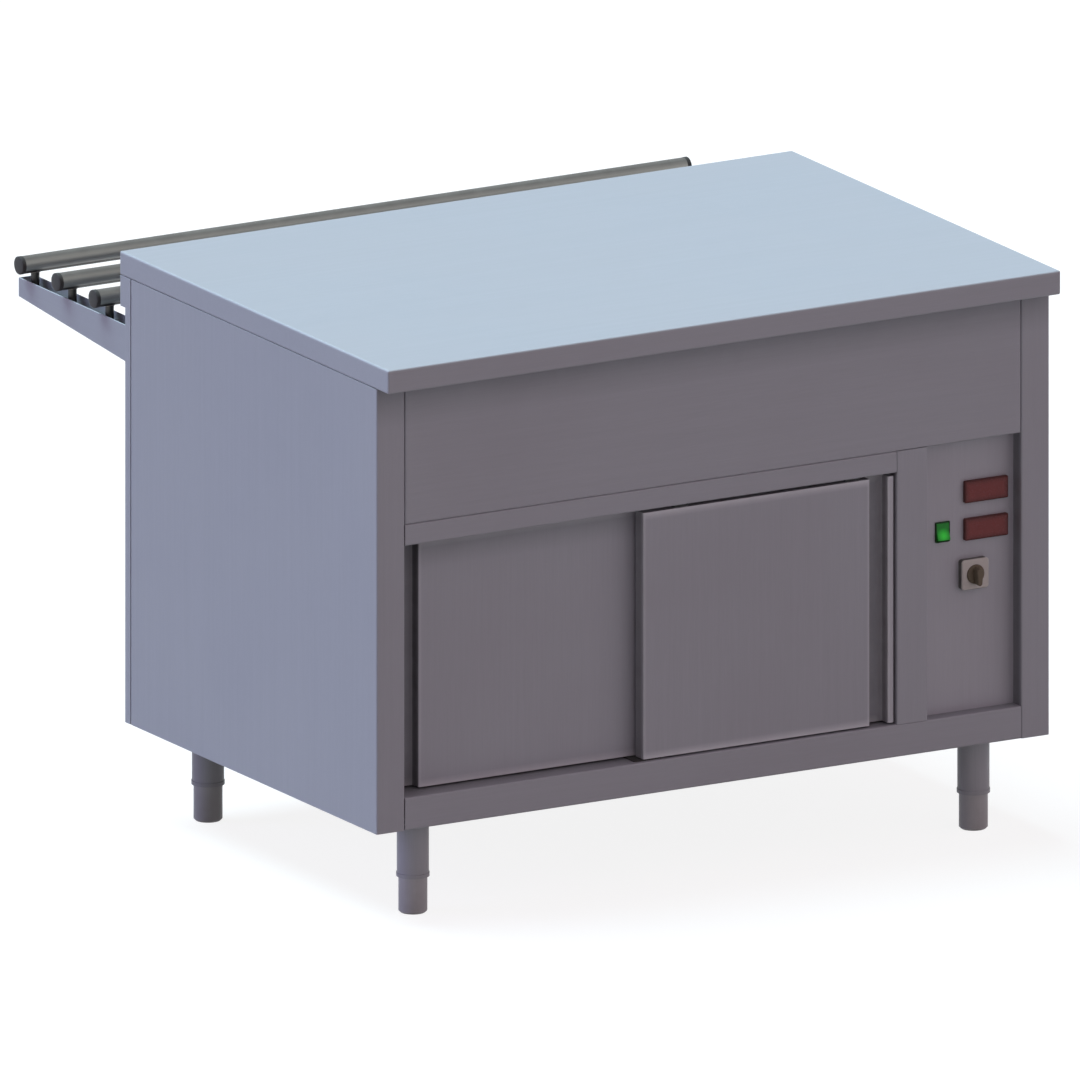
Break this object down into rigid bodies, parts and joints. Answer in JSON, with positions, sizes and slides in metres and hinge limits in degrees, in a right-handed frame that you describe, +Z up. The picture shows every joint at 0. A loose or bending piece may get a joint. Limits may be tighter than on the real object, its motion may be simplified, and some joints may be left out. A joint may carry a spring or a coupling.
{
  "type": "neutral serving counter",
  "caption": "Stainless serving counter with a plain overhanging top, sliding cupboard doors, a recessed control panel, adjustable legs and a tubular tray slide.",
  "frame": {"origin": "on the floor, under the middle of the counter's outline with its tray slide", "axes": "+X to the operator's right, +Y from the operator's side to the customers', +Z up"},
  "size_m": [1.2, 1.173, 0.9],
  "materials": {
    "satin_steel": "satin stainless sheet",
    "inner_steel": "plain stainless sheet",
    "galvanised_steel": "galvanised sheet",
    "zinc_hardware": "zinc plated, black passivated",
    "track_aluminium": "mill-finish extrusion",
    "tube_steel": "polished stainless tube",
    "black_plastic": "moulded, matt",
    "grey_plastic": "moulded, matt",
    "nylon": "natural nylon",
    "red_lens": "smoked red window",
    "green_rocker": "translucent green"
  },
  "bodies": {
    "counter": {"worktop": "satin_steel", "left_side_panel": "satin_steel", "right_side_panel": "satin_steel", "rear_panel": "satin_steel", "front_fascia": "satin_steel", "head_rail": "satin_steel", "mullion": "satin_steel", "bottom_rail": "satin_steel", "control_panel": "satin_steel", "left_tray_bracket": "satin_steel", "right_tray_bracket": "satin_steel", "leg_tubes": "satin_steel", "tray_posts": "satin_steel", "cupboard_floor": "inner_steel", "cupboard_ceiling": "inner_steel", "left_inner_wall": "inner_steel", "compartment_wall": "inner_steel", "inner_back": "inner_steel", "middle_shelf": "inner_steel", "shelf_runners": "inner_steel", "worktop_stiffeners": "galvanised_steel", "rear_posts": "galvanised_steel", "leg_bearers": "galvanised_steel", "terminal_rail": "galvanised_steel", "track_stops": "zinc_hardware", "door_track": "track_aluminium", "inner_tray_tube": "tube_steel", "middle_tray_tube": "tube_steel", "outer_tray_tube": "tube_steel", "tube_plugs": "black_plastic", "upper_controller": "black_plastic", "lower_controller": "black_plastic", "rocker_housing": "black_plastic", "cam_switch_body": "black_plastic", "cable_gland": "black_plastic", "cam_switch_plate": "grey_plastic", "terminal_block": "grey_plastic", "door_guide": "nylon", "upper_lens": "red_lens", "lower_lens": "red_lens"},
    "left_door": {"left_door_skin": "satin_steel", "left_door_back": "satin_steel", "left_door_hangers": "zinc_hardware"},
    "right_door": {"right_door_skin": "satin_steel", "right_door_back": "satin_steel", "right_door_hangers": "zinc_hardware"},
    "left_door_left_roller": {"left_door_left_roller": "nylon"},
    "left_door_right_roller": {"left_door_right_roller": "nylon"},
    "right_door_left_roller": {"right_door_left_roller": "nylon"},
    "right_door_right_roller": {"right_door_right_roller": "nylon"},
    "rocker": {"rocker_button": "green_rocker"},
    "knob": {"cam_switch_knob": "black_plastic"},
    "front_left_foot": {"front_left_foot": "satin_steel"},
    "front_right_foot": {"front_right_foot": "satin_steel"},
    "rear_left_foot": {"rear_left_foot": "satin_steel"},
    "rear_right_foot": {"rear_right_foot": "satin_steel"}
  },
  "joints": [
    {"name": "left_door_slide", "type": "slide", "parent": "counter", "child": "left_door", "axis": [1, 0, 0], "range_m": [0, 0.377]},
    {"name": "right_door_slide", "type": "slide", "parent": "counter", "child": "right_door", "axis": [1, 0, 0], "range_m": [-0.377, 0]},
    {"name": "left_door_left_roller_spin", "type": "hinge", "parent": "left_door", "child": "left_door_left_roller", "pos_m": [-0.478, -0.5065, 0.6253], "axis": [0, 1, 0], "range_deg": [-20, 2720]},
    {"name": "left_door_right_roller_spin", "type": "hinge", "parent": "left_door", "child": "left_door_right_roller", "pos_m": [-0.171, -0.5065, 0.6253], "axis": [0, 1, 0], "range_deg": [-20, 2720]},
    {"name": "right_door_left_roller_spin", "type": "hinge", "parent": "right_door", "child": "right_door_left_roller", "pos_m": [-0.051, -0.5305, 0.6253], "axis": [0, 1, 0], "range_deg": [-2720, 20]},
    {"name": "right_door_right_roller_spin", "type": "hinge", "parent": "right_door", "child": "right_door_right_roller", "pos_m": [0.256, -0.5305, 0.6253], "axis": [0, 1, 0], "range_deg": [-2720, 20]},
    {"name": "rocker_tilt", "type": "hinge", "parent": "counter", "child": "rocker", "pos_m": [0.42288, -0.5265, 0.492], "axis": [1, 0, 0], "range_deg": [0, 24]},
    {"name": "knob_turn", "type": "hinge", "parent": "counter", "child": "knob", "pos_m": [0.47602, -0.5265, 0.42], "axis": [0, 1, 0], "range_deg": [0, 90]},
    {"name": "front_left_foot_screw", "type": "slide", "parent": "counter", "child": "front_left_foot", "axis": [0, 0, -1], "range_m": [0, 0.05]},
    {"name": "front_right_foot_screw", "type": "slide", "parent": "counter", "child": "front_right_foot", "axis": [0, 0, -1], "range_m": [0, 0.05]},
    {"name": "rear_left_foot_screw", "type": "slide", "parent": "counter", "child": "rear_left_foot", "axis": [0, 0, -1], "range_m": [0, 0.05]},
    {"name": "rear_right_foot_screw", "type": "slide", "parent": "counter", "child": "rear_right_foot", "axis": [0, 0, -1], "range_m": [0, 0.05]}
  ],
  "couplings": [
    {"joint": "left_door_left_roller_spin", "follows": "left_door_slide", "rad_per_m": 125},
    {"joint": "left_door_right_roller_spin", "follows": "left_door_slide", "rad_per_m": 125},
    {"joint": "right_door_left_roller_spin", "follows": "right_door_slide", "rad_per_m": 125},
    {"joint": "right_door_right_roller_spin", "follows": "right_door_slide", "rad_per_m": 125}
  ]
}
